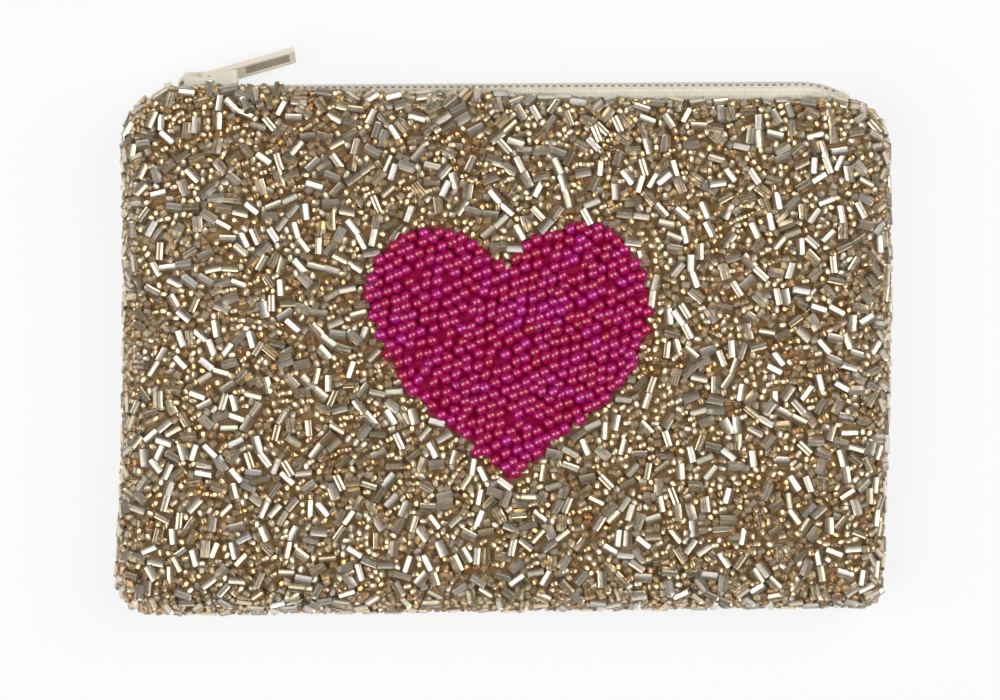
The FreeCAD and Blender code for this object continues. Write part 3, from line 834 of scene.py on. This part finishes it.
# %% Coils and their cords
wire_radius, coil_low, coil_high = 0.21, 0.26, 0.94
coil_head, coil_heel = -0.29, 1.69
coil_start, coil_end = -52.7, 55.14
cord_radius, cord_out, cord_across, cord_steps = 0.1, 0.6, 0.75, 40


def wound_curve(name, points, radius):
    """Round wire along a smooth curve through many points, as a mesh."""
    curve = bpy.data.curves.new(name, "CURVE")
    curve.dimensions = "3D"
    curve.bevel_depth = radius * MM
    curve.bevel_resolution = 1
    curve.resolution_u = 2
    curve.use_fill_caps = True
    spline = curve.splines.new("NURBS")
    spline.points.add(len(points) - 1)
    for control, point in zip(spline.points, points):
        control.co = (*(point * MM), 1)
    spline.order_u = 3
    spline.use_endpoint_u = True
    line = bpy.data.objects.new(name, curve)
    scene.collection.objects.link(line)
    bpy.context.view_layer.update()
    mesh = bpy.data.meshes.new_from_object(line)
    bpy.data.objects.remove(line)
    shape = bmesh.new()
    shape.from_mesh(mesh)
    bpy.data.meshes.remove(mesh)
    for face in shape.faces:
        face.smooth = True
    return shape


def coil_points(side, phase):
    """Four corners of each turn of one half of the coil, moved on by a share of the pitch."""
    points = []
    first = coil_start + coil_pitch * phase
    for turn in range(int((coil_end - first) / coil_pitch)):
        place = first + turn * coil_pitch
        apart = parting(place)
        for outward, across in (
            (coil_high, coil_heel), (coil_high, coil_head), (coil_low, coil_head), (coil_low, coil_heel),
        ):
            points.append(zip_point(place, *leaning(outward, side * (across + apart))))
    return points


def cord_points(side):
    """The core cord runs inside the coil, from the slider's post to the end of the chain."""
    steps = [parting_x + (coil_end - parting_x) * i / cord_steps for i in range(cord_steps + 1)]
    return [zip_point(place, *leaning(cord_out, side * cord_across)) for place in steps]


front_coil = wound_curve("front_coil_wire", coil_points(1, 0.0), wire_radius)
front_cord = wound_curve("front_core_cord", cord_points(1), cord_radius)
for word, side in sides:
    piece = add_piece("front_coil_wire_" + word, half_of(front_coil, side), nylon)
    follow_mouth(piece)
    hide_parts("front_coil")
    piece = add_piece("front_core_cord_" + word, half_of(front_cord, side), nylon)
    follow_mouth(piece)
    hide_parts("front_coil_cord")
for name, points, radius, node, slot in (
    ("back_coil_wire", coil_points(-1, 0.5), wire_radius, "back_coil", "coil_nylon"),
    ("back_core_cord", cord_points(-1), cord_radius, "back_coil_cord", "coil_core_cord"),
):
    piece = add_piece(name, wound_curve(name, points, radius), nylon)
    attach(piece, "pouch")
    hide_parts(node)
print("coil faces", len(front_coil.faces))

# %% [markdown]
# The beads
# A bead is a ring, so its section is drawn once and spun round the thread. A short tube
# has a straight section and a seed bead a bulging one. The hole of the gold beads is
# square, which is what makes them flash. Thousands are needed, so each has a few dozen
# faces.

# %% Bead shapes
def bead_shape(name, section, hole, square, finishes):
    """Mesh of one bead: a section spun round its thread, in glass outside and lined inside."""
    rim = hole * 1.01
    shape = bmesh.new()
    points = [shape.verts.new((radius, 0, height)) for radius, height in section]
    for i, point in enumerate(points):
        shape.edges.new((points[i - 1], point))
    bmesh.ops.spin(
        shape, geom=shape.verts[:] + shape.edges[:], cent=(0, 0, 0), axis=(0, 0, 1), dvec=(0, 0, 0),
        angle=2 * math.pi, steps=8, use_merge=True,
    )
    bmesh.ops.remove_doubles(shape, verts=shape.verts, dist=0.0001)
    bmesh.ops.recalc_face_normals(shape, faces=shape.faces)
    for face in shape.faces:
        inner = all(v.co.xy.length < rim for v in face.verts)
        face.material_index = 1 if inner else 0
        face.smooth = not inner
    for edge in shape.edges:
        kinds = {f.material_index for f in edge.link_faces}
        edge.smooth = len(kinds) == 1 and edge.calc_face_angle() < math.radians(70)
    if square:
        for vert in shape.verts:
            turn = math.degrees(math.atan2(vert.co.y, vert.co.x)) % 90
            if vert.co.xy.length < rim and 40 < turn < 50:
                vert.co.xy *= math.cos(math.radians(45))
    mesh = bpy.data.meshes.new(name)
    shape.to_mesh(mesh)
    shape.free()
    mesh.attributes.new("tone", "FLOAT", "POINT")
    for finish in finishes:
        mesh.materials.append(finish)
    return mesh


tube_half, tube_radius, tube_hole = 1.36, 0.86, 0.60
seed_half, seed_radius, seed_hole = 0.62, 0.78, 0.34
heart_half, heart_radius, heart_hole = 0.92, 1.08, 0.32


def seed_section(half, radius, hole, shoulder, end):
    """Bulging section: the shoulder and the end are shares of the radius."""
    return [
        (hole, -half * 0.9), (radius * end, -half), (radius * shoulder, -half * 0.62), (radius, 0),
        (radius * shoulder, half * 0.62), (radius * end, half), (hole, half * 0.9),
    ]


tube_section = [
    (tube_hole, -tube_half), (tube_radius, -tube_half), (tube_radius, tube_half), (tube_hole, tube_half),
]
bead_shapes = {
    "tube": bead_shape("tube_bead", tube_section, tube_hole, True, (tube_glass, silver_lining)),
    "seed": bead_shape(
        "seed_bead", seed_section(seed_half, seed_radius, seed_hole, 0.88, 0.62), seed_hole, True,
        (amber_glass, silver_lining),
    ),
    "heart": bead_shape(
        "heart_bead", seed_section(heart_half, heart_radius, heart_hole, 0.83, 0.5), heart_hole, False,
        (magenta_glass, colour_lining),
    ),
}
print({name: len(mesh.polygons) for name, mesh in bead_shapes.items()}, "faces a bead")

# %% [markdown]
# Sewing on the beads
# The heart comes first, in rows. The gold ground is strung the way it is sewn: a short
# string of tubes or of seeds starts anywhere, curls as it goes, and ends where it meets
# another string. What is left between the strings is filled with single beads, the last
# of them pressed closer together. Each bead is tried against its neighbours before it is
# kept, and the random choices are seeded, so the pouch comes out the same each time.

# %% Bead places
chance = random.Random(41)
cell = 1.7
pressed_reach, thread_gap, heart_tries = 0.41, 0.02, 6000
seam_clear, hem_clear, hem_low = 0.75, 0.12, 35
taken = {}
placed = []
# Of each kind: half its length, its radius, and the balls that stand for it in the tests,
# by their places along it and their radius.
bead_sizes = {
    "tube": (tube_half, tube_radius, (-0.68, 0.0, 0.68), 0.66),
    "seed": (seed_half, seed_radius, (0.0,), 0.55),
    "heart": (heart_half, heart_radius, (0.0,), 0.72),
}


def cell_of(point):
    """Cube of space that a point is in, so that only near beads are tested."""
    return tuple(int(math.floor(c / cell)) for c in point)


def is_free(points, reach):
    """Whether balls of one radius at these points keep clear of all that is sewn on."""
    for point in points:
        cx, cy, cz = cell_of(point)
        for x in (cx - 1, cx, cx + 1):
            for y in (cy - 1, cy, cy + 1):
                for z in (cz - 1, cz, cz + 1):
                    for other, other_reach in taken.get((x, y, z), ()):
                        if (other - point).length_squared < (reach + other_reach) ** 2:
                            return False
    return True


def seated(point):
    """Nearest point of the cloth and its outward direction, in millimetres."""
    spot, normal, _, _ = cloth_tree.find_nearest(point * MM)
    return spot / MM, normal


def allowed(spot, kind):
    """Beads keep off the seam and the hem, and each kind on its own side of the heart's outline."""
    if spot.z < front_base + seam_clear:
        return False
    if mouth_share(spot.x, spot.y) > 0.5 and spot.z < front_hem_z + hem_clear and spot.y > hem_low:
        return False
    return in_heart(spot.x, spot.y) == (kind == "heart")


def try_bead(kind, point, heading, lift):
    """Keep a bead at a point of the cloth if there is room; gives its middle and direction."""
    _, radius, offsets, reach = bead_sizes[kind]
    spot, normal = seated(point)
    if not allowed(spot, kind):
        return None
    direction = heading - normal * heading.dot(normal)
    if direction.length < 0.2:
        return None
    lift *= max(normal.z, 0.1)
    direction = (direction.normalized() + normal * lift * chance.uniform(-0.4, 0.4)).normalized()
    middle = spot + normal * (radius + lift)
    points = [middle + direction * step for step in offsets]
    if not is_free(points, reach):
        return None
    for each in points:
        taken.setdefault(cell_of(each), []).append((each, reach))
    placed.append((kind, middle, direction, normal))
    return spot, direction


row_slope = math.radians(22)
row_along = Vector((math.cos(row_slope), math.sin(row_slope), 0))
row_up = Vector((-math.sin(row_slope), math.cos(row_slope), 0))
row_pitch, row_gap = 1.78, 1.68


def wander(step, row):
    """Rows of hand sewing drift up and down a little, neighbours together."""
    return 0.9 * noise.noise(Vector((step * 0.17, row * 0.22, 3.0)))


for row in range(-18, 19):
    for step in range(-22, 23):
        shift = 0.5 * (row % 2) + chance.uniform(-0.2, 0.2)
        point = Vector((*heart_centre, 15)) + row_along * (row_pitch * (step + shift))
        point += row_up * (row_gap * row + wander(step, row) + chance.uniform(-0.25, 0.25))
        heading = row_along + row_up * chance.uniform(-0.9, 0.9)
        try_bead("heart", point, heading, chance.uniform(0, 0.3))
for attempt in range(heart_tries):
    point = Vector((*heart_centre, 15)) + Vector((chance.uniform(-24, 24), chance.uniform(-22, 22), 0))
    try_bead("heart", point, row_along + row_up * chance.uniform(-0.6, 0.6), chance.uniform(0.2, 1.0))
heart_count = len(placed)


def any_heading(normal):
    """Random direction along the cloth."""
    side = normal.orthogonal().normalized()
    return Matrix.Rotation(chance.uniform(0, 2 * math.pi), 3, normal) @ side


def sew_strings(kind, count, length, low, high):
    """Short strings of one kind of bead, at a height above the cloth between low and high."""
    step = bead_sizes[kind][0] + thread_gap
    for _, middle, normal in chance.sample(cloth_faces, count):
        point = middle / MM
        heading = any_heading(normal)
        curl = chance.uniform(-0.35, 0.35)
        for bead in range(length):
            kept = None
            for attempt in range(5):
                bent = Matrix.Rotation(curl + chance.uniform(-0.3, 0.3), 3, normal) @ heading
                kept = try_bead(kind, point + bent * step, bent, chance.uniform(low, high))
                if kept:
                    break
            if not kept:
                break
            spot, heading = kept
            normal = seated(spot)[1]
            point = spot + heading * step


def fill_gaps(kind, tries, low, high):
    """Go over the whole cloth and lay a bead wherever one still fits."""
    for _, middle, normal in chance.sample(cloth_faces, len(cloth_faces)):
        for attempt in range(tries):
            point = middle / MM + any_heading(normal) * chance.uniform(0, 0.9)
            if try_bead(kind, point, any_heading(normal), chance.uniform(low, high)):
                break


sew_strings("tube", count=260, length=2, low=0.0, high=0.3)
sew_strings("tube", count=2200, length=1, low=0.0, high=0.4)
sew_strings("seed", count=2600, length=9, low=0.0, high=0.2)
fill_gaps("seed", tries=5, low=0.0, high=0.3)
low_count = len(placed) - heart_count
sew_strings("tube", count=1500, length=1, low=0.7, high=1.1)
sew_strings("seed", count=900, length=8, low=0.45, high=0.8)
fill_gaps("seed", tries=5, low=0.4, high=0.8)
bead_sizes["seed"] = (seed_half, seed_radius, (0.0,), pressed_reach)
fill_gaps("seed", tries=4, low=0.0, high=0.3)
print("beads:", heart_count, "in the heart,", low_count, "next to the cloth,", len(placed), "in all")

# %% [markdown]
# From places to pieces
# All beads of a kind on one side of the middle become one piece. Each is rolled about its
# thread, made a little larger or smaller, and given a tone of its own.

# %% Bead pieces
def sew_on(name, kind, side, replaced):
    """One piece of all the beads of a kind on one side of the middle."""
    shape = bmesh.new()
    bead = bead_shapes[kind].copy()
    tones = bead.attributes["tone"].data
    count = 0
    for bead_kind, middle, direction, normal in placed:
        if bead_kind != kind or (middle.x >= 0) != (side > 0):
            continue
        across = normal.cross(direction).normalized()
        upward = direction.cross(across)
        roll = Matrix.Rotation(chance.uniform(0, 6.28), 3, "Z")
        turn = Matrix((across, upward, direction)).transposed() @ roll
        size = chance.uniform(0.94, 1.05)
        spread = Vector((size, size, chance.uniform(0.93, 1.04)))
        place = Matrix.LocRotScale(middle * MM, turn.to_quaternion(), spread * MM)
        tones.foreach_set("value", [min(max(chance.gauss(0.5, 0.24), 0), 1)] * len(tones))
        bead.transform(place)
        shape.from_mesh(bead)
        bead.transform(place.inverted())
        count += 1
    piece = add_piece(name, shape, *bead_shapes[kind].materials)
    bpy.data.meshes.remove(bead)
    follow_mouth(piece)
    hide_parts(replaced)
    print(name, count, "beads", len(piece.data.polygons), "faces")


for word, side in sides:
    sew_on("tube_beads_" + word, "tube", side, "gold_bead_field")
    sew_on("gold_seed_beads_" + word, "seed", side, "gold_bead_field")
    sew_on("heart_beads_" + word, "heart", side, "heart_bead_field")

# %% [markdown]
# Metal of the zip
# Slider, bail, pull and stops keep their solids, which have the right shape, and take the
# plated finish. The recess of the pull gets painted shade: its floor is coloured darker.
# The recess is found as the lowest of the faces that look the way the pull's front does.

# %% Metal nodes
# The recess colour is painted shade for the floor of the pull's recess.
recess_shade_colour, recess_slack, level_share = (0.46, 0.38, 0.28), 0.12 * MM, 0.9
pull_faces = [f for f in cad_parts["pull_tab"].data.polygons if f.normal.y < -0.8]
facing = max(pull_faces, key=lambda f: f.area).normal.copy()
recess_floor = min(facing.dot(f.center) for f in pull_faces if f.normal.dot(facing) > 0.999)

pull_gold = pale_gold.copy()
pull_gold.name = "pale_gold_pull"
nodes, links = pull_gold.node_tree.nodes, pull_gold.node_tree.links
base_colour = nodes["Principled BSDF"].inputs["Base Color"]
own = nodes.new("ShaderNodeTexCoord")


def along_facing(coordinate):
    """Coordinate of the pull, measured the way that its front faces."""
    reach = nodes.new("ShaderNodeVectorMath")
    reach.operation = "DOT_PRODUCT"
    reach.inputs[1].default_value = facing
    links.new(own.outputs[coordinate], reach.inputs[0])
    return reach.outputs["Value"]


# Painted shade: the floor of the pull's recess is coloured darker.
recess_shade_mask = math_node(
    nodes, links, "MULTIPLY",
    math_node(nodes, links, "LESS_THAN", along_facing("Object"), recess_floor + recess_slack),
    math_node(nodes, links, "GREATER_THAN", along_facing("Normal"), level_share),
)
plating_outside_recess = base_colour.links[0].from_socket
links.new(blend_colour(nodes, links, recess_shade_mask, plating_outside_recess, recess_shade_colour), base_colour)

for name in ("slider_body", "slider_bail", "pull_tab", "front_top_stop", "back_top_stop", "bottom_stop"):
    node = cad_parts[name]
    node.data.materials.clear()
    node.data.materials.append(pull_gold if name == "pull_tab" else pale_gold)
print("recess of the pull at", round(recess_floor / MM, 2), "mm along", [round(c, 3) for c in facing])
